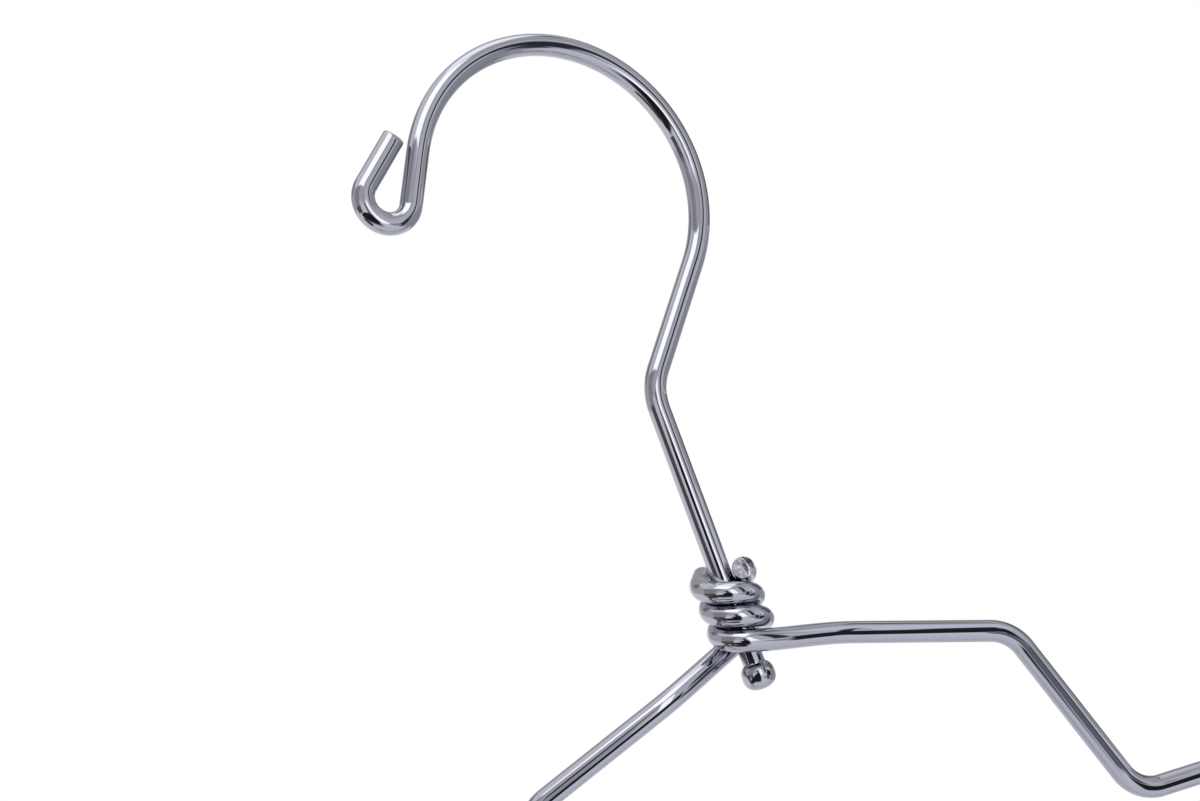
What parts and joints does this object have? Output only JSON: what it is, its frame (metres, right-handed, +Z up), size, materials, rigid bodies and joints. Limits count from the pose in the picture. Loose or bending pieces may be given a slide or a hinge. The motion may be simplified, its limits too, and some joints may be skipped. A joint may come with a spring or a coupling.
{
  "type": "clip hanger",
  "caption": "Clothes hanger of polished steel wire: curled-tip hook turning in a coiled neck, strap notches, and a bottom bar with sliding, swinging, sprung clips.",
  "frame": {"origin": "where a rail bears inside the hook, on the axis of the hook's shank", "axes": "+Z up along the shank, +X along the bar to the wearer's left shoulder as seen from the front, -Y to the front"},
  "size_m": [0.41, 0.0246, 0.2354],
  "materials": {
    "hook_wire": "mirror-polished stainless steel wire",
    "frame_wire": "mirror-polished stainless steel wire, cut ends sheared",
    "jaw_steel": "stamped sheet steel, polished",
    "spring_steel": "drawn spring wire",
    "pad_rubber": "moulded soft rubber, matt"
  },
  "bodies": {
    "hook": {"hook": "hook_wire"},
    "frame": {"frame_wire": "frame_wire"},
    "left_spring": {"left_clip_spring": "spring_steel"},
    "left_rear": {"left_clip_rear_jaw": "jaw_steel", "left_clip_rear_pad": "pad_rubber"},
    "left_front": {"left_clip_front_jaw": "jaw_steel", "left_clip_front_pad": "pad_rubber"},
    "right_spring": {"right_clip_spring": "spring_steel"},
    "right_rear": {"right_clip_rear_jaw": "jaw_steel", "right_clip_rear_pad": "pad_rubber"},
    "right_front": {"right_clip_front_jaw": "jaw_steel", "right_clip_front_pad": "pad_rubber"}
  },
  "joints": [
    {"name": "hook_swivel", "type": "hinge", "parent": "hook", "child": "frame", "pos_m": [0, 0, 0], "axis": [0, 0, 1], "continuous": true},
    {"name": "left_clip_slide", "type": "slide", "parent": "frame", "child": "left_spring", "axis": [1, 0, 0], "range_m": [-0.063, 0.095]},
    {"name": "left_clip_swing", "type": "hinge", "parent": "left_spring", "child": "left_rear", "pos_m": [-0.112, 0, -0.20311], "axis": [1, 0, 0], "range_deg": [-150, 150], "deforming": ["left_clip_spring"]},
    {"name": "left_jaw_open", "type": "hinge", "parent": "left_rear", "child": "left_front", "pos_m": [-0.112, 0, -0.20311], "axis": [-1, 0, 0], "range_deg": [0, 48], "stiffness_Nm_per_rad": 0.06, "springref_deg": -57.3, "deforming": ["left_clip_spring"]},
    {"name": "right_clip_slide", "type": "slide", "parent": "frame", "child": "right_spring", "axis": [1, 0, 0], "range_m": [-0.095, 0.063]},
    {"name": "right_clip_swing", "type": "hinge", "parent": "right_spring", "child": "right_rear", "pos_m": [0.112, 0, -0.20311], "axis": [1, 0, 0], "range_deg": [-150, 150], "deforming": ["right_clip_spring"]},
    {"name": "right_jaw_open", "type": "hinge", "parent": "right_rear", "child": "right_front", "pos_m": [0.112, 0, -0.20311], "axis": [-1, 0, 0], "range_deg": [0, 48], "stiffness_Nm_per_rad": 0.06, "springref_deg": -57.3, "deforming": ["right_clip_spring"]}
  ]
}
